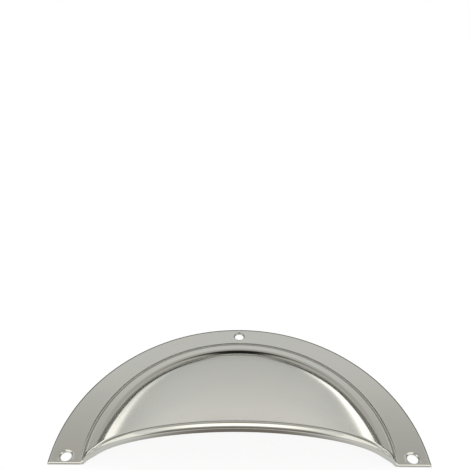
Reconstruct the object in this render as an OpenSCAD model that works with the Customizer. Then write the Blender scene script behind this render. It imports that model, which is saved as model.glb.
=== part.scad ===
// Half-round clamshell vent hood, pressed from one sheet of stainless steel.
// It lies in its own frame: the mounting plane is Z = 0, the origin is the centre of the flange's
// arc, the arc bulges towards +Y and the open mouth looks towards -Y.

/* [Flange] */
// Radius of the flange's outer arc
flange_r = 63.5; // [60:0.5:70]
// Width of the flat flange, from the outer arc to the foot of the bead
flange_w = 10.4; // [9:0.2:14]
// How far the straight front edge lies in front of the arc's centre
front_drop = 3; // [2.5:0.25:5]
// Thickness of the sheet
sheet_t = 0.8; // [0.6:0.1:0.9]

/* [Screw holes] */
// Diameter of the screw holes
hole_d = 3.6; // [3:0.1:4.1]
// Diameter of the countersink at the top face
sink_d = 4.6; // [4.2:0.1:5]
// Depth of the countersink
sink_depth = 0.45; // [0.2:0.05:0.5]
// Distance of the two end holes from the flange's outer arc
hole_inset = 5.5; // [4.5:0.25:6]
// Distance of the middle hole from the flange's outer arc
top_hole_inset = 4.2; // [3.8:0.1:4.3]

/* [Bead] */
// How far the bead's centre lies behind the centre of the flange's outer arc
bead_back = 2.1; // [0:0.1:2.3]
// Height of the raised bead above the flange
bead_h = 0.8; // [0.5:0.1:1.1]
// Width of the slope that rises from the flange to the bead
riser_w = 2.4; // [2:0.1:2.8]
// Width of the bead's level top
bead_top_w = 1.8; // [1.5:0.1:3]
// Width of the slope that falls from the bead to the foot of the roof
fall_w = 2.3; // [1.8:0.1:2.6]
// Share of a slope's width that its lower bend takes: the smaller it is, the tighter the bend
foot_share = 0.15; // [0.1:0.05:0.5]

/* [Roof] */
// Height of the roof above the flange at the middle of the mouth
mouth_h = 18.5; // [14:0.25:24]
// Fullness of the arch: 0.5 is an ellipse, less is squarer
arch_power = 0.4; // [0.36:0.01:0.55]
// Share of its height that the arch loses on the way to its feet
crown = 0.1; // [0:0.02:0.2]
// How far the roof's sides spread outwards at the mouth, on each side
flare_w = 2.4; // [1:0.2:2.8]
// Length over which the sides spread
flare_len = 24; // [14:1:30]
// Softness of the bend at the foot of the roof
foot_blend = 0.25; // [0.15:0.05:0.5]

/* [Skirt beside the mouth] */
// How far the roof's skirt spreads outwards at the mouth, on each side
skirt_w = 5; // [3:0.2:5.4]
// Length over which the skirt runs back from the mouth and dies out
skirt_len = 8; // [6:0.5:12]
// Fullness of the skirt's arch: 0.5 is an ellipse, 1 is a parabola
skirt_power = 0.54; // [0.5:0.01:0.7]
// Height of the skirt's arch at the mouth, for a roof that is 1 high
skirt_share = 0.96; // [0.9:0.01:0.98]
// Softness of the line where the skirt leaves the roof
skirt_blend = 1; // [0.5:0.1:1.5]

/* [Mouth lip] */
// Height of the turned-down lip, from the roof to its free edge
lip_h = 2.5; // [2.4:0.1:5]
// How fast the lip gains height from its ends: 1 is as fast as the roof rises
lip_growth = 0.8; // [0.6:0.05:0.9]
// Outer radius of the bend from the roof to the lip
lip_bend_r = 1.8; // [1.2:0.1:2]
// Distance from the start of the bend to the front edge
lip_run = 2.6; // [2.2:0.1:2.8]

/* [Hidden] */

// Radii about the bead's centre, from outside inwards; the roof starts where the bead ends
foot_r = flange_r - flange_w;
bead_out_r = foot_r - riser_w;
bead_in_r = bead_out_r - bead_top_w;
roof_r = bead_in_r - fall_w;
shoulder_r = roof_r - 3;
// Where the sheet leaves the roof and bends into the lip
bend_y = -(front_drop - lip_run);
// Back edge of the roof, and its depth from there to the bend
roof_back_y = bead_back + roof_r;
roof_len = roof_back_y - bend_y;
// Rise of the roof before its foot is softened
roof_rise = (mouth_h + sqrt(mouth_h * mouth_h + 4 * foot_blend * mouth_h)) / 2;
// Height of the roof over which the bead fades out below it
bead_fade = 2;

// Columns along the arc, how much closer they lie at its ends, and the steps of each slope
arc_steps = 56;
end_crowd = 0.45;
riser_steps = 4;
bead_top_steps = 3;
fall_steps = 4;
shoulder_steps = 5;
roof_steps = 10;
lip_rows = 6;
probe = 0.02;

function steps(from, to, n) = [for (i = [1:n]) from + (to - from) * i / n];

// Rings of the pressing, as radii: the first about the flange's centre, the others about the bead's;
// after them come shares of the way to the mouth's middle
ring_r = concat(
    [flange_r, foot_r],
    steps(foot_r, bead_out_r, riser_steps),
    steps(bead_out_r, bead_in_r, bead_top_steps),
    steps(bead_in_r, roof_r, fall_steps),
    [for (i = [1:shoulder_steps]) roof_r - (roof_r - shoulder_r) * pow(i / shoulder_steps, 1.5)]
);
roof_share = [for (i = [1:roof_steps - 1]) 1 - pow(i / roof_steps, 1.25)];
ring_count = len(ring_r) + len(roof_share);

// An S-shaped slope of height h over width w, at distance d from its foot: a lower bend that takes
// foot_share of the width, and an upper bend that takes the rest
function s_slope(d, w, h) =
    let (
        u = min(max(d, 0), w),
        both = (w * w + h * h) / (2 * h),
        foot_rho = both * foot_share,
        head_rho = both - foot_rho
    )
    u < w * foot_share ? foot_rho - sqrt(foot_rho * foot_rho - u * u)
    : h - head_rho + sqrt(head_rho * head_rho - (w - u) * (w - u));

function bead_height(r) =
    min(s_slope(foot_r - r, riser_w, bead_h), s_slope(r - roof_r, fall_w, bead_h));

// An arch across the hood, about 1 high in the middle and 0 at its feet, which stand out by spread
// from the circle of the roof
function arch(x, y, spread, power) =
    let (
        half_width = sqrt(max(0, roof_r * roof_r - (y - bead_back) * (y - bead_back))) + spread,
        share = (y >= roof_back_y || abs(x) >= half_width) ? 1 : x * x / (half_width * half_width)
    )
    pow(1 - share, power) * (1 - crown * share);

function soft_max(a, b, blend) =
    let (near = max(0, blend - abs(a - b)))
    max(a, b) + near * near / (4 * blend);

// 1 at the mouth, falling to 0 at the given length behind it
function nearness(y, length) = min(1, max(0, (bend_y + length - y) / length));

// Height of the roof, with the skirt beside the mouth
function roof_height(x, y) =
    let (
        climb = roof_rise * (roof_back_y - y) / roof_len,
        flare = nearness(y, flare_len),
        front = nearness(y, skirt_len),
        share = skirt_share * front * front * (3 - 2 * front),
        roof = climb * arch(x, y, flare_w * flare * flare, arch_power),
        skirt = climb * share * arch(x, y, skirt_w * front * front, skirt_power)
    )
    skirt > 0 ? soft_max(roof, skirt, skirt_blend) : roof;

// Height of the hood's outer surface over the mounting plane
function outer_z(x, y) =
    let (roof = roof_height(x, y))
    sheet_t
    + bead_height(norm([x, y - bead_back])) * exp(-roof / bead_fade)
    + roof * roof / (roof + foot_blend);

function slope_x(x, y) = (outer_z(x + probe, y) - outer_z(x - probe, y)) / (2 * probe);
function slope_y(x, y) = (outer_z(x, y + probe) - outer_z(x, y - probe)) / (2 * probe);
function unit(v) = v / norm(v);
function outer_normal(x, y) = unit([-slope_x(x, y), -slope_y(x, y), 1]);

// A ring is an arc of radius r about [0, back] that ends where the lip starts to bend
function arc_point(r, back, j) =
    let (
        start = asin((bend_y - back) / r),
        share = j / arc_steps,
        a = start + (180 - 2 * start) * (share - end_crowd * sin(360 * share) / (2 * PI))
    )
    [r * cos(a), back + r * sin(a)];
function ring_point(k, j) =
    k == 0 ? arc_point(flange_r, 0, j)
    : k < len(ring_r) ? arc_point(ring_r[k], bead_back, j)
    : let (s = roof_share[k - len(ring_r)], p = arc_point(shoulder_r, bead_back, j))
        [s * p[0], bend_y + s * (p[1] - bend_y)];

// The line where the lip starts: left ends of the rings, the middle, right ends of the rings
line_count = 2 * ring_count + 1;
function line_point(i) =
    i < ring_count ? ring_point(i, arc_steps)
    : i == ring_count ? [0, bend_y]
    : ring_point(2 * ring_count - i, 0);

// A point of the lip's section at share s of the way from the roof to the free edge: on from p at
// the slope rise_a, round a bend of radius rho, then straight down to the height low
function lip_path(p, rise_a, rho, front, low, s) =
    let (
        flat = (p[1] - front - rho * (1 + sin(rise_a))) / cos(rise_a),
        bend = rho * (rise_a + 90) * PI / 180,
        cy = p[1] - flat * cos(rise_a) - rho * sin(rise_a),
        cz = p[2] + flat * sin(rise_a) - rho * cos(rise_a),
        way = s * (flat + bend + max(0, cz - low)),
        turn = rise_a - min(max(way - flat, 0), bend) / rho * 180 / PI
    )
    way < flat ? [p[0], p[1] - way * cos(rise_a), p[2] + way * sin(rise_a)]
    : [p[0], cy + rho * sin(turn), max(0, cz + rho * cos(turn) - max(0, way - flat - bend))];

function lip_bend(z, rise_a, run, largest) = min(largest, z - 0.2, 0.95 * run / (1 + sin(rise_a)));

// Height of the lip's free edge where the roof above it is z high
function lip_low(z) =
    let (full = lip_h - sheet_t, over = max(0, z - sheet_t))
    max(0, over - full * (1 - exp(-lip_growth * over / full)));

// The lip's outer and inner points at step q, from the line point p
function lip_pair(p, q) =
    let (
        top = [p[0], p[1], outer_z(p[0], p[1])],
        under = top - sheet_t * outer_normal(p[0], p[1]),
        rise_a = atan(-slope_y(p[0], p[1])),
        rho = lip_bend(top[2], rise_a, lip_run, lip_bend_r),
        inner_front = sheet_t - front_drop,
        inner_rho = max(0.1, lip_bend(rho - sheet_t + 0.2, rise_a, under[1] - inner_front, rho)),
        low = lip_low(top[2])
    )
    [
        lip_path(top, rise_a, rho, -front_drop, low, q / lip_rows),
        lip_path(under, rise_a, inner_rho, inner_front, low, q / lip_rows)
    ];

// Pairs of outer and inner points
function shell_pairs() = concat(
    [for (k = [0:ring_count - 1]) for (j = [0:arc_steps]) sheet_pair(ring_point(k, j))],
    [sheet_pair([0, bend_y])],
    [for (q = [1:lip_rows]) for (i = [0:line_count - 1]) lip_pair(line_point(i), q)]
);

function sheet_pair(p) =
    let (top = [p[0], p[1], outer_z(p[0], p[1])])
    [top, top - sheet_t * outer_normal(p[0], p[1])];

function ring_index(k, j) = k * (arc_steps + 1) + j;
middle_index = ring_count * (arc_steps + 1);
function lip_index(i, q) =
    q > 0 ? middle_index + 1 + (q - 1) * line_count + i
    : i < ring_count ? ring_index(i, arc_steps)
    : i == ring_count ? middle_index
    : ring_index(2 * ring_count - i, 0);

function pair(a, b, c, d) = [[a, b, c], [a, c, d]];
function flat_list(lists) = [for (l = lists) for (v = l) v];

outer_faces = concat(
    flat_list([for (k = [0:ring_count - 2]) for (j = [0:arc_steps - 1])
        pair(ring_index(k, j), ring_index(k + 1, j), ring_index(k + 1, j + 1), ring_index(k, j + 1))]),
    [for (j = [0:arc_steps - 1])
        [ring_index(ring_count - 1, j), middle_index, ring_index(ring_count - 1, j + 1)]],
    flat_list([for (q = [0:lip_rows - 1]) for (i = [0:line_count - 2])
        pair(lip_index(i, q), lip_index(i + 1, q), lip_index(i + 1, q + 1), lip_index(i, q + 1))])
);
// The free edge, all the way round: the flange's arc, then down one lip end, along it and up the other
rim = concat(
    [for (j = [0:arc_steps]) ring_index(0, j)],
    [for (q = [1:lip_rows]) lip_index(0, q)],
    [for (i = [1:line_count - 1]) lip_index(i, lip_rows)],
    [for (q = [lip_rows - 1:-1:1]) lip_index(line_count - 1, q)]
);

module pressed_sheet() {
    skin = shell_pairs();
    n = len(skin);
    rim_n = len(rim);
    polyhedron(
        points = concat([for (s = skin) s[0]], [for (s = skin) s[1]]),
        faces = concat(
            outer_faces,
            [for (f = outer_faces) [f[2] + n, f[1] + n, f[0] + n]],
            flat_list([for (i = [0:rim_n - 1])
                let (a = rim[i], b = rim[(i + 1) % rim_n]) pair(a, b, b + n, a + n)])
        )
    );
}

module screw_hole() {
    translate([0, 0, -1]) cylinder(h = sheet_t + 2, d = hole_d, $fn = 48);
    translate([0, 0, sheet_t - sink_depth])
        cylinder(h = sink_depth + 0.2, d1 = hole_d,
            d2 = sink_d + (sink_d - hole_d) * 0.2 / sink_depth, $fn = 48);
}

module clamshell_hood() {
    color("#c4c2bb")
        difference() {
            pressed_sheet();
            for (side = [-1, 1])
                translate([side * (flange_r - hole_inset), 0, 0]) screw_hole();
            translate([0, flange_r - top_hole_inset, 0]) screw_hole();
        }
}

clamshell_hood();
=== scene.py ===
# %% [markdown]
# The lesson dresses one small piece of metalwork: a clamshell vent hood. On the real product it is one
# disc of stainless sheet, cut in half, pressed to shape and pierced for three screws. It could be
# built from a dozen primitives, but a pressing is one skin, so here it is one mesh with a thickness,
# worked out from the same few sizes as the CAD solid. That keeps the two the same shape.
# %% Load the frame
import math

import bmesh
import bpy
import numpy as np
from mathutils import Matrix, Vector


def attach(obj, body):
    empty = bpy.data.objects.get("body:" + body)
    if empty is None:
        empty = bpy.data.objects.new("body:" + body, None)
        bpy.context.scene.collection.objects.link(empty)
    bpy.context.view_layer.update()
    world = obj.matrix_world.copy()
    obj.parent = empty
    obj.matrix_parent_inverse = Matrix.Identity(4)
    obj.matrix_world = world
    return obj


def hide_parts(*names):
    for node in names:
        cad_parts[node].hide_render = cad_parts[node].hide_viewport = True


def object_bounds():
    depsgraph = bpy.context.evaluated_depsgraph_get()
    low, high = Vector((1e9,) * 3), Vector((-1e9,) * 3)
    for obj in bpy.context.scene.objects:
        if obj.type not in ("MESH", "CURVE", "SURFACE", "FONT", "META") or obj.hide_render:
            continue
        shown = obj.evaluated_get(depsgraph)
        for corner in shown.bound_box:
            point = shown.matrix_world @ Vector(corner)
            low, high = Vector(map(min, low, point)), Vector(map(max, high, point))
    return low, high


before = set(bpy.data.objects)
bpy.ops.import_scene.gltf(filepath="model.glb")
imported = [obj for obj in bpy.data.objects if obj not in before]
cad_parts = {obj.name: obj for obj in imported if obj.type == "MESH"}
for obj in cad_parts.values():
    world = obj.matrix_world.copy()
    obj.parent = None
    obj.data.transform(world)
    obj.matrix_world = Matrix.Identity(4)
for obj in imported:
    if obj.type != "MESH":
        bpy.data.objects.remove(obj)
cad_box = [list(corner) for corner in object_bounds()]
print("CAD box in metres:", cad_box)

# %% [markdown]
# Sizes come first, in millimetres, with the names a sheet-metal worker would use. The flange is the
# flat rim that the screws go through, the riser climbs from it to the raised bead, and the fall drops
# from the bead to the back of the roof. The roof then climbs to the open mouth, where the sheet turns
# down into a lip.
# %% Sizes of the pressing
MM = 0.001
# Flange and sheet
FLANGE_R = 63.5
FLANGE_W = 10.4
FRONT_DROP = 3.0
SHEET_T = 0.8
# Screw holes
HOLE_R = 1.8
SINK_R = 2.3
SINK_DEPTH = 0.45
END_HOLE_INSET = 5.5
TOP_HOLE_INSET = 4.2
HOLE_CENTRES = [(FLANGE_R - END_HOLE_INSET, 0.0), (0.0, FLANGE_R - TOP_HOLE_INSET),
                (END_HOLE_INSET - FLANGE_R, 0.0)]
# Bead: how far its centre lies behind the flange's, its height and widths, and the share of a slope's
# width that the bend at its foot takes
BEAD_BACK = 2.1
BEAD_H = 0.8
RISER_W = 2.4
BEAD_TOP_W = 1.8
FALL_W = 2.3
FOOT_SHARE = 0.15
# Height of the roof over which the bead fades out
BEAD_FADE = 2.0
# Roof: its height at the mouth, the fullness of its arch, and how its sides spread at the mouth
MOUTH_H = 18.5
ARCH_POWER = 0.40
CROWN = 0.1
FLARE_W = 2.4
FLARE_LEN = 24.0
FOOT_BLEND = 0.25
SHOULDER_W = 3.0
# Skirt beside the mouth
SKIRT_W = 5.0
SKIRT_LEN = 8.0
SKIRT_POWER = 0.54
SKIRT_SHARE = 0.96
SKIRT_BLEND = 1.0
# Lip
LIP_H = 2.5
LIP_GROWTH = 0.8
LIP_BEND_R = 1.8
LIP_RUN = 2.6
# Rolled outer edge, too fine for the CAD solid
EDGE_ROLL_W = 0.8
EDGE_ROLL_H = 0.22

FOOT_R = FLANGE_R - FLANGE_W
BEAD_OUT_R = FOOT_R - RISER_W
BEAD_IN_R = BEAD_OUT_R - BEAD_TOP_W
ROOF_R = BEAD_IN_R - FALL_W
SHOULDER_R = ROOF_R - SHOULDER_W
BEND_Y = LIP_RUN - FRONT_DROP
ROOF_BACK_Y = BEAD_BACK + ROOF_R
ROOF_LEN = ROOF_BACK_Y - BEND_Y
ROOF_RISE = (MOUTH_H + math.sqrt(MOUTH_H**2 + 4 * FOOT_BLEND * MOUTH_H)) / 2
print("across the flange:", 2 * FLANGE_R, "mm; roof depth:", ROOF_LEN, "mm")

# %% [markdown]
# The skin is a height field: one formula gives the top face's height at any place on the plan. A
# pressed slope has no sharp corners, because the die edges are rounded, so each slope is an S made of
# a tight bend at its foot and a wide one above. The bead's centre lies a little behind the flange's.
# The roof is a full, square-shouldered arch whose sides swing outwards towards the mouth. Beside the
# mouth a lower skirt spreads out further, where the bead fades out. The foot of the roof is softened.
# The blanking press also rolls the flange's outer edge down a little.
# %% Height of the top face
def s_slope(distance, width, height):
    u = np.clip(distance, 0, width)
    both = (width**2 + height**2) / (2 * height)
    foot_rho, head_rho = both * FOOT_SHARE, both * (1 - FOOT_SHARE)
    foot = foot_rho - np.sqrt(np.maximum(foot_rho**2 - u**2, 0))
    head = height - head_rho + np.sqrt(np.maximum(head_rho**2 - (width - u)**2, 0))
    return np.where(u < width * FOOT_SHARE, foot, head)


def bead_height(r):
    return np.minimum(s_slope(FOOT_R - r, RISER_W, BEAD_H), s_slope(r - ROOF_R, FALL_W, BEAD_H))


def arch(x, y, spread, power):
    """1 in the middle and 0 at the feet, which stand out by spread from the circle of the roof."""
    half_width = np.sqrt(np.maximum(1e-9, ROOF_R**2 - (y - BEAD_BACK)**2)) + spread
    share = np.minimum((x / half_width)**2, 1)
    return (1 - share)**power * (1 - CROWN * share) * (y < ROOF_BACK_Y)


def soft_max(a, b):
    near = np.maximum(SKIRT_BLEND - abs(a - b), 0)
    return np.maximum(a, b) + near**2 / (4 * SKIRT_BLEND)


def nearness(y, length):
    """1 at the mouth, falling to 0 at the given length behind it."""
    return np.clip((BEND_Y + length - y) / length, 0, 1)


def top_height(x, y):
    climb = ROOF_RISE * (ROOF_BACK_Y - y) / ROOF_LEN
    flare, front = nearness(y, FLARE_LEN), nearness(y, SKIRT_LEN)
    skirt_climb = climb * SKIRT_SHARE * front**2 * (3 - 2 * front)
    skirt = skirt_climb * arch(x, y, SKIRT_W * front**2, SKIRT_POWER)
    roof = climb * arch(x, y, FLARE_W * flare**2, ARCH_POWER)
    roof = np.where(skirt > 0, soft_max(roof, skirt), roof)
    bead = bead_height(np.hypot(x, y - BEAD_BACK)) * np.exp(-roof / BEAD_FADE)
    roll = EDGE_ROLL_H * np.clip((np.hypot(x, y) - FLANGE_R) / EDGE_ROLL_W + 1, 0, 1)**2
    return SHEET_T - roll + bead + roof**2 / (roof + FOOT_BLEND)


def top_slopes(x, y, step=0.02):
    along_x = (top_height(x + step, y) - top_height(x - step, y)) / (2 * step)
    along_y = (top_height(x, y + step) - top_height(x, y - step)) / (2 * step)
    return along_x, along_y


print("height at the mouth's middle:", round(float(top_height(0.0, BEND_Y)), 2), "mm")

# %% [markdown]
# A smooth reflection needs a smooth mesh, so the points follow the form: rings round the bead, close
# together where the sheet bends, and then rings that shrink towards the middle of the mouth. Every
# ring ends on one straight line, where the lip starts. Evenly spaced squares would cut across the
# bends and leave steps in the reflections.
# %% Rings of points on the plan
COLUMNS = 260
END_CROWD = 0.45
RING_STEPS = [(FOOT_R, BEAD_OUT_R, 14), (BEAD_OUT_R, BEAD_IN_R, 7), (BEAD_IN_R, ROOF_R, 14)]
FLANGE_RINGS = 6
ROLL_RINGS = 6
SHOULDER_RINGS = 14
ROOF_STEPS = 44


def ring(radius, back):
    start = math.asin((BEND_Y - back) / radius)
    share = np.linspace(0, 1, COLUMNS + 1)
    crowded = share - END_CROWD * np.sin(2 * math.pi * share) / (2 * math.pi)
    angle = start + (math.pi - 2 * start) * crowded
    return np.stack([radius * np.cos(angle), back + radius * np.sin(angle)], 1)


rings = [ring(FLANGE_R - EDGE_ROLL_W * k / ROLL_RINGS, 0) for k in range(ROLL_RINGS + 1)]
rolled, foot = rings[ROLL_RINGS], ring(FOOT_R, BEAD_BACK)
rings += [rolled + (foot - rolled) * k / FLANGE_RINGS for k in range(1, FLANGE_RINGS + 1)]
for outer, inner, steps in RING_STEPS:
    rings += [ring(radius, BEAD_BACK) for radius in np.linspace(outer, inner, steps + 1)[1:]]
near_foot = (np.arange(1, SHOULDER_RINGS + 1) / SHOULDER_RINGS)**1.6
rings += [ring(ROOF_R - (ROOF_R - SHOULDER_R) * share, BEAD_BACK) for share in near_foot]
shoulder = rings[-1]
mouth_middle = np.array([0, BEND_Y])
shares = 1 - (np.arange(1, ROOF_STEPS) / ROOF_STEPS)**1.25
rings += [mouth_middle + share * (shoulder - mouth_middle) for share in shares]
plan = np.array(rings)
RINGS = len(plan)
print("rings:", RINGS, "points on each:", COLUMNS + 1)

# %% [markdown]
# The sheet has the same thickness everywhere, measured square to its face, so the under face is the
# top face moved in by one thickness along its normal. The lip is a path that starts level with the
# roof, goes round a small bend and drops straight. The under face has a smaller bend about the same
# centre, as in a real folded edge.
# %% Top and under faces, and the lip
LIP_ROWS = 22


def both_faces(x, y):
    along_x, along_y = top_slopes(x, y)
    top = np.stack([x, y, top_height(x, y)], -1)
    normal = np.stack([-along_x, -along_y, np.ones_like(x)], -1)
    normal /= np.linalg.norm(normal, axis=-1, keepdims=True)
    under = top - SHEET_T * normal
    under[..., 2] = np.maximum(under[..., 2], 0)
    return top, under


def lip_low(z):
    full, over = LIP_H - SHEET_T, np.maximum(0, z - SHEET_T)
    return np.maximum(0, over - full * (1 - np.exp(-LIP_GROWTH * over / full)))


def bend_radius(z, rise, run, largest):
    return np.minimum(np.minimum(largest, z - 0.2), 0.95 * run / (1 + np.sin(rise)))


def lip_path(start, rise, rho, front, low, share):
    flat = (start[:, 1] - front - rho * (1 + np.sin(rise))) / np.cos(rise)
    bend = rho * (rise + math.pi / 2)
    centre_y = start[:, 1] - flat * np.cos(rise) - rho * np.sin(rise)
    centre_z = start[:, 2] + flat * np.sin(rise) - rho * np.cos(rise)
    way = share * (flat + bend + np.maximum(0, centre_z - low))
    turn = rise - np.clip(way - flat, 0, bend) / rho
    drop = np.maximum(0, way - flat - bend)
    on_flat = way < flat
    y = np.where(on_flat, start[:, 1] - way * np.cos(rise), centre_y + rho * np.sin(turn))
    z = np.where(on_flat, start[:, 2] + way * np.sin(rise), centre_z + rho * np.cos(turn) - drop)
    return np.stack([start[:, 0], y, np.maximum(0, z)], 1)


def lip_rows(line):
    top, under = both_faces(line[:, 0], line[:, 1])
    rise = np.arctan(-top_slopes(line[:, 0], line[:, 1])[1])
    rho = bend_radius(top[:, 2], rise, LIP_RUN, LIP_BEND_R)
    front = SHEET_T - FRONT_DROP
    inner_rho = np.maximum(0.1, bend_radius(rho - SHEET_T + 0.2, rise, under[:, 1] - front, rho))
    low = lip_low(top[:, 2])
    shares = np.arange(1, LIP_ROWS + 1) / LIP_ROWS
    outer = [lip_path(top, rise, rho, -FRONT_DROP, low, share) for share in shares]
    inner = [lip_path(under, rise, inner_rho, front, low, share) for share in shares]
    return np.array(outer), np.array(inner)


sheet_top, sheet_under = both_faces(plan[..., 0], plan[..., 1])
line = np.concatenate([plan[:, -1], [mouth_middle], plan[::-1, 0]])
lip_top, lip_under = lip_rows(line)
middle_top, middle_under = both_faces(mouth_middle[:1], mouth_middle[1:])
print("lip's lower edge at the middle:", round(float(lip_top[-1, RINGS, 2]), 2), "mm up")

# %% [markdown]
# Now the points get faces. Each point has a number, and a face is four numbers in order, so the only
# art is counting. The same list of faces serves the under face, turned over. The free edge runs all
# the way round, and there a sheared and deburred sheet has a small round on both corners. That round
# catches a line of light, so it gets points of its own. At the sharp ends of the flange the round would
# stand out by a hair, so every point is kept inside the CAD solid's box.
# %% Faces and the rounded free edge
EDGE_ROUND = 0.14
ROUND_STEPS = 3
ROW = COLUMNS + 1
MIDDLE = RINGS * ROW
LINE = len(line)


def lip_number(i, q):
    if q > 0:
        return MIDDLE + 1 + (q - 1) * LINE + i
    if i == RINGS:
        return MIDDLE
    return i * ROW + COLUMNS if i < RINGS else (2 * RINGS - i) * ROW


skin_top = np.concatenate([sheet_top.reshape(-1, 3), middle_top, lip_top.reshape(-1, 3)])
skin_under = np.concatenate([sheet_under.reshape(-1, 3), middle_under, lip_under.reshape(-1, 3)])
faces = [(k * ROW + j, (k + 1) * ROW + j, (k + 1) * ROW + j + 1, k * ROW + j + 1)
         for k in range(RINGS - 1) for j in range(COLUMNS)]
last = (RINGS - 1) * ROW
faces += [(last + j, MIDDLE, last + j + 1) for j in range(COLUMNS)]
faces += [(lip_number(i, q), lip_number(i + 1, q), lip_number(i + 1, q + 1), lip_number(i, q + 1))
          for q in range(LIP_ROWS) for i in range(LINE - 1)]
rim = list(range(ROW))
rim += [lip_number(0, q) for q in range(1, LIP_ROWS + 1)]
rim += [lip_number(i, LIP_ROWS) for i in range(1, LINE)]
rim += [lip_number(LINE - 1, q) for q in range(LIP_ROWS - 1, 0, -1)]


def unit(rows):
    return rows / np.maximum(np.linalg.norm(rows, axis=-1, keepdims=True), 1e-9)


def rounded_rim():
    """Pulls the rim's two corners in and returns the rows of points that go round the edge."""
    top, under = skin_top[rim].copy(), skin_under[rim].copy()
    through = unit(top - under)
    along = unit(np.roll(top, -1, 0) - np.roll(top, 1, 0))
    outward = unit(np.cross(along, through))
    skin_top[rim] = top - EDGE_ROUND * outward
    skin_under[rim] = under - EDGE_ROUND * outward
    angles = np.linspace(0, math.pi / 2, ROUND_STEPS + 1)[1:]
    steps = [((1 - math.sin(a)) * outward, (1 - math.cos(a)) * through) for a in angles]
    upper = [top - EDGE_ROUND * (inward + down) for inward, down in steps]
    lower = [under - EDGE_ROUND * (inward - down) for inward, down in steps]
    return upper + lower[::-1]


edge_rows = rounded_rim()
N = len(skin_top)
faces += [tuple(n + N for n in reversed(face)) for face in faces]
first_numbers = [2 * N + k * len(rim) for k in range(len(edge_rows))]
rows = [rim] + [list(range(first, first + len(rim))) for first in first_numbers] + [[n + N for n in rim]]
for near, far in zip(rows, rows[1:]):
    for i in range(len(rim)):
        after = (i + 1) % len(rim)
        faces.append((near[i], near[after], far[after], far[i]))
points = np.clip(np.concatenate([skin_top, skin_under] + edge_rows) * MM, cad_box[0], cad_box[1])
print("points:", len(points), "faces:", len(faces))

# %% [markdown]
# The screw holes are cut the way a drill and a countersink would cut them: a turned cutter is taken
# away from the sheet. The cutter's profile has a small round where the countersink meets the face,
# because the tool leaves a soft edge there and it shows as a bright crescent.
# %% The sheet and its holes
CUTTER_STEPS = 64
CUTTER_PROFILE = [(0, -1), (HOLE_R, -1), (HOLE_R, SHEET_T - SINK_DEPTH - 0.04),
                  (HOLE_R + 0.03, SHEET_T - SINK_DEPTH), (SINK_R - 0.08, SHEET_T - 0.09),
                  (SINK_R, SHEET_T - 0.035), (SINK_R + 0.12, SHEET_T + 0.005),
                  (SINK_R + 0.5, SHEET_T + 0.4), (0, SHEET_T + 0.4)]


def mesh_object(name, vertices, polygons):
    mesh = bpy.data.meshes.new(name)
    mesh.from_pydata([tuple(v) for v in vertices], [], polygons)
    mesh.update()
    made = bpy.data.objects.new(name, mesh)
    bpy.context.scene.collection.objects.link(made)
    return made


def turned(name, profile, centre):
    turns = np.linspace(0, 2 * math.pi, CUTTER_STEPS, endpoint=False)
    vertices = [((centre[0] + r * math.cos(a)) * MM, (centre[1] + r * math.sin(a)) * MM, z * MM)
                for r, z in profile[1:-1] for a in turns]
    polygons = [(k * CUTTER_STEPS + i, k * CUTTER_STEPS + (i + 1) % CUTTER_STEPS,
                 (k + 1) * CUTTER_STEPS + (i + 1) % CUTTER_STEPS, (k + 1) * CUTTER_STEPS + i)
                for k in range(len(profile) - 3) for i in range(CUTTER_STEPS)]
    polygons.append(tuple(reversed(range(CUTTER_STEPS))))
    polygons.append(tuple(range(len(vertices) - CUTTER_STEPS, len(vertices))))
    return mesh_object(name, vertices, polygons)


def outward_faces(thing):
    work = bmesh.new()
    work.from_mesh(thing.data)
    bmesh.ops.recalc_face_normals(work, faces=work.faces)
    work.to_mesh(thing.data)
    work.free()


hood = mesh_object("pressed_hood", points, faces)
outward_faces(hood)
cutters = [turned("cutter", CUTTER_PROFILE, centre) for centre in HOLE_CENTRES]
for cutter in cutters:
    outward_faces(cutter)
    cut = hood.modifiers.new("hole", "BOOLEAN")
    cut.operation = "DIFFERENCE"
    cut.solver = "EXACT"
    cut.object = cutter
bpy.context.view_layer.update()
cut_mesh = bpy.data.meshes.new_from_object(hood.evaluated_get(bpy.context.evaluated_depsgraph_get()))
hood.modifiers.clear()
hood.data = cut_mesh
for cutter in cutters:
    bpy.data.objects.remove(cutter)
print("faces after the holes are cut:", len(hood.data.polygons))

# %% [markdown]
# Smooth shading makes the bends read as bends. Weighted normals keep the flat flange flat next to
# the holes: the large faces win over the narrow ones of the countersink.
# %% Smooth shading
SHARP = math.radians(42)
hood.data.polygons.foreach_set("use_smooth", [True] * len(hood.data.polygons))
hood.data.set_sharp_from_angle(angle=SHARP)
weighted = hood.modifiers.new("weighted", "WEIGHTED_NORMAL")
weighted.keep_sharp = True
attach(hood, "root")
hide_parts("clamshell_hood")
print("hood rides on root")

# %% [markdown]
# Small helpers for materials. Colours are written as a paint chart gives them, in sRGB hex, and one
# function turns them to the linear numbers that the renderer works in. Another adds a node together
# with its settings and its links, so that a material reads from top to bottom.
# %% Helpers for materials
def linear(hex_colour):
    channels = [int(hex_colour[i:i + 2], 16) / 255 for i in (1, 3, 5)]
    return [c / 12.92 if c <= 0.04045 else ((c + 0.055) / 1.055)**2.4 for c in channels] + [1.0]


def add(tree, kind, settings=None, links=None):
    node = tree.nodes.new(kind)
    for name, value in (settings or {}).items():
        if hasattr(node, name) and name not in node.inputs:
            setattr(node, name, value)
        else:
            node.inputs[name].default_value = value
    for name, source in (links or {}).items():
        tree.links.new(source, node.inputs[name])
    return node


def new_material(name):
    made = bpy.data.materials.new(name)
    made.use_nodes = True
    made.node_tree.nodes.clear()
    return made


print("stainless grey in linear light:", [round(c, 3) for c in linear("#bcbcb7")])

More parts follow.
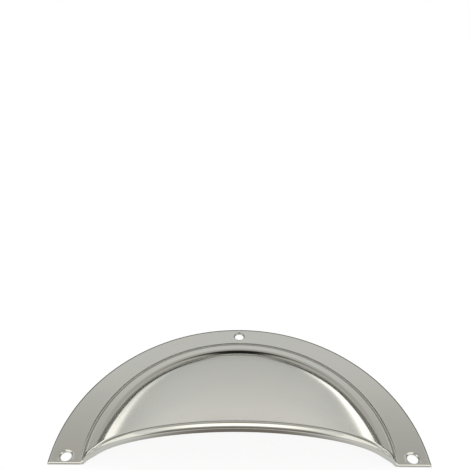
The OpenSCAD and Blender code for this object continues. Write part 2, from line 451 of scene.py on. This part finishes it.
# %% [markdown]
# The sheet is 304 stainless steel, polished on a belt after pressing. That finish is a mirror that
# has been breathed on: it shows the room, but softly. Three things keep it from looking like plain
# chrome: faint belt lines along the sheet, patches where the polish is a little duller, and the
# slight waviness of thin pressed metal.
# %% Polished 304 stainless steel
BELT_LINES_PER_M = 1 / (0.35 * MM)
PATCHES_PER_M = 1 / (22 * MM)
WAVES_PER_M = 1 / (14 * MM)
CLEAR_AND_DULL = {"To Min": 0.09, "To Max": 0.16}
GRAIN = {"To Min": -0.03, "To Max": 0.03}


def stretched(tree, place, stretch):
    return add(tree, "ShaderNodeMapping", {"Scale": stretch}, {"Vector": place}).outputs["Vector"]


def polished_stainless():
    steel = new_material("polished_304_stainless")
    tree = steel.node_tree
    place = add(tree, "ShaderNodeTexCoord").outputs["Object"]
    patches = add(tree, "ShaderNodeTexNoise", {"Scale": PATCHES_PER_M, "Detail": 3.0}, {"Vector": place})
    lines = add(tree, "ShaderNodeTexNoise", {"Scale": BELT_LINES_PER_M, "Detail": 2.0},
                {"Vector": stretched(tree, place, (0.05, 1, 1))})
    tint = add(tree, "ShaderNodeMix", {"data_type": "RGBA"}, {"Factor": patches.outputs["Fac"]})
    tint.inputs["A"].default_value = linear("#b8bab5")
    tint.inputs["B"].default_value = linear("#bfbdb6")
    dull = add(tree, "ShaderNodeMapRange", CLEAR_AND_DULL, {"Value": patches.outputs["Fac"]})
    grain = add(tree, "ShaderNodeMapRange", GRAIN, {"Value": lines.outputs["Fac"]})
    rough = add(tree, "ShaderNodeMath", {"operation": "ADD"})
    tree.links.new(dull.outputs["Result"], rough.inputs[0])
    tree.links.new(grain.outputs["Result"], rough.inputs[1])
    waves = add(tree, "ShaderNodeTexNoise", {"Scale": WAVES_PER_M, "Detail": 1.0}, {"Vector": place})
    wavy = add(tree, "ShaderNodeBump", {"Strength": 0.12, "Distance": 0.1 * MM},
               {"Height": waves.outputs["Fac"]})
    brushed = add(tree, "ShaderNodeBump", {"Strength": 0.05, "Distance": 0.01 * MM},
                  {"Height": lines.outputs["Fac"], "Normal": wavy.outputs["Normal"]})
    shader = add(tree, "ShaderNodeBsdfPrincipled", {"Metallic": 1.0},
                 {"Base Color": tint.outputs["Result"], "Roughness": rough.outputs["Value"],
                  "Normal": brushed.outputs["Normal"]})
    add(tree, "ShaderNodeOutputMaterial", {}, {"Surface": shader.outputs["BSDF"]})
    return steel


hood.data.materials.clear()
hood.data.materials.append(polished_stainless())
print("material:", hood.data.materials[0].name)

# %% [markdown]
# Metal has no look of its own: it shows what stands round it. So the studio is part of the picture.
# The room and the floor are white for the camera and for reflections. The floor stays a real surface
# for everything else, so the shadow is still there.
# %% White room and floor
FLOOR_SIZE = 6.0
FLOOR_GAP = 0.05 * MM
ROOM_LIGHT = 1.0
SHADOW_SHARE = 0.10


def seen_directly(tree):
    """1 for camera, glossy and transmission rays, 0 for the rest."""
    path = add(tree, "ShaderNodeLightPath")
    first = add(tree, "ShaderNodeMath", {"operation": "MAXIMUM"})
    tree.links.new(path.outputs["Is Camera Ray"], first.inputs[0])
    tree.links.new(path.outputs["Is Glossy Ray"], first.inputs[1])
    second = add(tree, "ShaderNodeMath", {"operation": "MAXIMUM"})
    tree.links.new(first.outputs["Value"], second.inputs[0])
    tree.links.new(path.outputs["Is Transmission Ray"], second.inputs[1])
    return second.outputs["Value"]


def white_room():
    world = bpy.data.worlds.new("white_room")
    world.use_nodes = True
    world.node_tree.nodes.clear()
    tree = world.node_tree
    level = add(tree, "ShaderNodeMapRange", {"To Min": ROOM_LIGHT, "To Max": 1.0},
                {"Value": seen_directly(tree)})
    room = add(tree, "ShaderNodeBackground", {"Color": (1, 1, 1, 1)}, {"Strength": level.outputs["Result"]})
    add(tree, "ShaderNodeOutputWorld", {}, {"Surface": room.outputs["Background"]})
    bpy.context.scene.world = world


def floor_paper():
    paper = new_material("white_paper")
    tree = paper.node_tree
    lit = add(tree, "ShaderNodeBsdfDiffuse", {"Color": linear("#fbfbfa")})
    white = add(tree, "ShaderNodeEmission", {"Color": (1, 1, 1, 1), "Strength": 1.0})
    share = add(tree, "ShaderNodeMapRange", {"To Min": 0.0, "To Max": 1 - SHADOW_SHARE},
                {"Value": seen_directly(tree)})
    both = add(tree, "ShaderNodeMixShader")
    tree.links.new(share.outputs["Result"], both.inputs["Fac"])
    tree.links.new(lit.outputs["BSDF"], both.inputs[1])
    tree.links.new(white.outputs["Emission"], both.inputs[2])
    add(tree, "ShaderNodeOutputMaterial", {}, {"Surface": both.outputs["Shader"]})
    return paper


def flat_board(name, centre, across, up, material):
    """A rectangle about centre, spanned by two half-size vectors."""
    c, a, b = Vector(centre), Vector(across), Vector(up)
    board = mesh_object(name, [c - a - b, c + a - b, c + a + b, c - a + b], [(0, 1, 2, 3)])
    board.data.materials.append(material)
    return board


white_room()
half = FLOOR_SIZE / 2
flat_board("floor", (0, 0, -FLOOR_GAP), (half, 0, 0), (0, half, 0), floor_paper())
print("floor:", FLOOR_SIZE, "m square")

# %% [markdown]
# The camera stands where the photographer stood: low in front of the mouth and a little above. Its
# lens is worked out from the picture's width in pixels, so the perspective is the same.
# %% Camera
IMAGE_WIDTH = 470
FOCAL_PIXELS = 560.9
ELEVATION = 31.693
YAW = -0.345
ROLL = 0.133
DISTANCE = 308.9 * MM
AIM = Vector((-2.4 * MM, 142.3 * MM, 0))


def aim_camera():
    down, turn, tilt = (math.radians(a) for a in (ELEVATION, YAW, ROLL))
    forward = Vector((math.sin(turn) * math.cos(down), math.cos(turn) * math.cos(down), -math.sin(down)))
    right = Vector((math.cos(turn), -math.sin(turn), 0))
    up = right.cross(forward)
    tilted_right = math.cos(tilt) * right + math.sin(tilt) * up
    tilted_up = math.cos(tilt) * up - math.sin(tilt) * right
    data = bpy.data.cameras.new("camera")
    data.sensor_width = 36
    data.lens = data.sensor_width * FOCAL_PIXELS / IMAGE_WIDTH
    data.clip_start = 0.01
    camera = bpy.data.objects.new("camera", data)
    turned_axes = Matrix((tilted_right, tilted_up, -forward)).transposed().to_4x4()
    camera.matrix_world = Matrix.Translation(AIM - DISTANCE * forward) @ turned_axes
    bpy.context.scene.collection.objects.link(camera)
    bpy.context.scene.camera = camera
    return camera


camera = aim_camera()
print("camera at", [round(v, 4) for v in camera.matrix_world.translation])
print("lens:", round(camera.data.lens, 2), "mm")

# %% [markdown]
# Photographers shape a reflection with cards: pieces of board, white, grey or black, that the metal
# sees and the camera doesn't. Each card here is one flat board whose edges fade out, because a card
# out of focus in a satin mirror has no hard edge. Only reflections see the cards.
# %% Cards that only reflections see
def fade_out(tree, coordinate, share):
    """1 in the middle of a board, 0 at its two edges; share is the part of the half size that fades."""
    centred = add(tree, "ShaderNodeMath", {"operation": "MULTIPLY_ADD"})
    tree.links.new(coordinate, centred.inputs[0])
    centred.inputs[1].default_value = 2.0
    centred.inputs[2].default_value = -1.0
    away = add(tree, "ShaderNodeMath", {"operation": "ABSOLUTE"})
    tree.links.new(centred.outputs["Value"], away.inputs[0])
    ramp = add(tree, "ShaderNodeMapRange", {"interpolation_type": "SMOOTHSTEP", "From Min": 1 - share,
               "From Max": 1.0, "To Min": 1.0, "To Max": 0.0}, {"Value": away.outputs["Value"]})
    return ramp.outputs["Result"]


def card_material(name, colour, level, fades):
    card = new_material(name)
    tree = card.node_tree
    place = add(tree, "ShaderNodeTexCoord").outputs["UV"]
    split = add(tree, "ShaderNodeSeparateXYZ", {}, {"Vector": place})
    cover = add(tree, "ShaderNodeMath", {"operation": "MULTIPLY"})
    tree.links.new(fade_out(tree, split.outputs["X"], fades[0]), cover.inputs[0])
    tree.links.new(fade_out(tree, split.outputs["Y"], fades[1]), cover.inputs[1])
    clear = add(tree, "ShaderNodeBsdfTransparent")
    paint = add(tree, "ShaderNodeEmission", {"Color": linear(colour), "Strength": level})
    both = add(tree, "ShaderNodeMixShader", {}, {"Fac": cover.outputs["Value"]})
    tree.links.new(clear.outputs["BSDF"], both.inputs[1])
    tree.links.new(paint.outputs["Emission"], both.inputs[2])
    add(tree, "ShaderNodeOutputMaterial", {}, {"Surface": both.outputs["Shader"]})
    return card


def only_in_reflections(board):
    board.visible_camera = False
    board.visible_diffuse = False
    board.visible_shadow = False
    board.visible_transmission = False
    return board


def card(name, rows, colour, level, fades):
    """A card from rows of points in metres; each row runs across, and the rows follow one another."""
    up, across = len(rows), len(rows[0])
    polygons = [(r * across + i, r * across + i + 1, (r + 1) * across + i + 1, (r + 1) * across + i)
                for r in range(up - 1) for i in range(across - 1)]
    board = mesh_object(name, [point for row in rows for point in row], polygons)
    spots = board.data.uv_layers.new(name="card")
    for corner in board.data.loops:
        row, column = divmod(corner.vertex_index, across)
        spots.data[corner.index].uv = (column / (across - 1), row / (up - 1))
    board.data.materials.append(card_material(name, colour, level, fades))
    return only_in_reflections(board)


def level_card(name, x, y, z, colour, level, fades):
    """A horizontal card between two x and two y values."""
    return card(name, [[(x[0], v, z), (x[1], v, z)] for v in y], colour, level, fades)


def upright_card(name, x, y, z, colour, level, fades):
    """An upright card across the view at the depth y, between two x and two z values."""
    return card(name, [[(x[0], y, v), (x[1], y, v)] for v in z], colour, level, fades)


print("the cards are seen by glossy rays only")

# %% [markdown]
# The black card hangs over the piece. The fall of the bead leans towards it and turns into a dark
# crescent, while the flat flange still shows the white wall behind. The lip's face shows the grey wall
# in front and a grey card lying on the white table in front of the mouth. That card is painted shade,
# standing in for the shadow on the table there. Three bands run round the back of the room at different
# heights. The riser of the bead looks at the grey one and becomes a dark line. The roof looks lower, at
# a dull horizon with a warm white band over it, so it brightens from its back edge to the mouth.
# %% Black card, grey front and bands
CEILING_Z = 0.30
level_card("grey_ceiling", (-0.26, 0.26), (-0.60, 0.37), CEILING_Z, "#d8d6d2", 1.0, (0.3, 0.35))
level_card("black_ceiling", (-0.075, 0.075), (-0.22, 0.17), CEILING_Z - 0.005, "#141615", 1.0, (0.6, 0.6))
upright_card("grey_wall_in_front", (-0.30, 0.30), -0.45, (0.0, 0.42), "#96928d", 1.0, (0.3, 0.15))
# Painted shade: a grey card on the white table in front of the mouth stands in for the shadow there; only
# reflections see it.
level_card("shaded_table_in_front", (-0.052, 0.052), (-0.12, -0.0035), 0.0004, "#948d86", 1.0, (0.8, 0.05))


def band(name, radius, heights, colour, level, fades):
    """A card bent round the back of the room, between two heights."""
    turns = np.radians(np.linspace(-40, 220, 60))
    rows = [[(radius * math.cos(a), radius * math.sin(a), z) for a in turns] for z in heights]
    return card(name, rows, colour, level, fades)


band("grey_band", 0.70, (0.13, 0.52), "#afaeaa", 1.0, (0.05, 0.15))
band("warm_band", 0.71, (0.09, 0.15), "#fffbf8", 1.22, (0.3, 0.5))
band("dull_horizon", 0.72, (-0.11, 0.11), "#dfe0dd", 1.0, (0.05, 1.0))

# %% [markdown]
# A narrow white reflector follows the front edge, a finger's width above it. The bend of the lip
# picks it up as a bright line that fades towards both ends. Two larger boards stand out to the sides.
# The front edge of the flange and the far sides of its countersinks show them.
# %% Reflectors over the front edge
REFLECTOR_ABOVE = 12.0
SIDE_BOARD_X = (0.052, 0.170)
SIDE_BOARD_Y = (-0.060, 0.008)
SIDE_BOARD_Z = 0.038
across = np.linspace(-50, 50, 45)
lip_heights = top_height(across, np.full_like(across, BEND_Y)) + REFLECTOR_ABOVE
reflector_rows = [[(x * MM, y * MM, z * MM) for x, z in zip(across, lip_heights)] for y in (-14.0, 2.0)]
card("reflector_over_the_lip", reflector_rows, "#fffdf8", 2.3, (0.8, 0.3))
for side in (-1, 1):
    level_card("side_board", sorted(side * x for x in SIDE_BOARD_X), SIDE_BOARD_Y, SIDE_BOARD_Z,
               "#fffdf8", 1.6, (0.1, 0.15))

# %% [markdown]
# The table beyond the piece is brightly lit at both sides. The shoulders of the roof look down on it
# and show it as two white streaks, the right one stronger. A thin dark strip right at the flange's
# edge is the shade under that edge, and it draws the outline of the rolled rim.
# %% Bright table and shaded rim
BRIGHT_Z = 0.0003
STREAK_COLOUR = "#fffcf8"
SHADE_R = 0.066
SHADE_Z = (0.0, 0.0026)
card("bright_table_left",
     [[(-0.50, 0.10, BRIGHT_Z), (-0.12, 0.55, BRIGHT_Z)],
      [(-0.068, 0.0, BRIGHT_Z), (-0.042, 0.054, BRIGHT_Z)]],
     STREAK_COLOUR, 1.9, (0.3, 0.1))
card("bright_table_right",
     [[(0.12, 0.55, BRIGHT_Z), (0.50, 0.10, BRIGHT_Z)],
      [(0.045, 0.050, BRIGHT_Z), (0.068, 0.0, BRIGHT_Z)]],
     STREAK_COLOUR, 2.3, (0.3, 0.1))
turns = np.linspace(-0.05, math.pi + 0.05, 90)
shade_rows = [[(SHADE_R * math.cos(a), SHADE_R * math.sin(a), z) for a in turns] for z in SHADE_Z]
card("shade_at_the_rim", shade_rows, "#484b48", 1.0, (0.02, 0.3))

# %% [markdown]
# One large softbox lights the table from above and behind, and gives the piece its faint shadow. The
# steel doesn't see it.
# %% Softbox
def softbox(name, place, aim, width, height, level):
    data = bpy.data.lights.new(name, "AREA")
    data.shape = "RECTANGLE"
    data.size = width
    data.size_y = height
    data.energy = level * math.pi * width * height
    box = bpy.data.objects.new(name, data)
    box.location = place
    box.rotation_euler = (Vector(aim) - Vector(place)).to_track_quat("-Z", "Y").to_euler()
    box.visible_camera = False
    box.visible_glossy = False
    bpy.context.scene.collection.objects.link(box)
    return box


softbox("overhead", (0, 0.30, 0.90), (0, 0.02, 0.005), 0.6, 0.5, 1.0)

# %% [markdown]
# Last, the colours are shown as they are, with no film look.
# %% Finish
bpy.context.scene.view_settings.view_transform = "Standard"
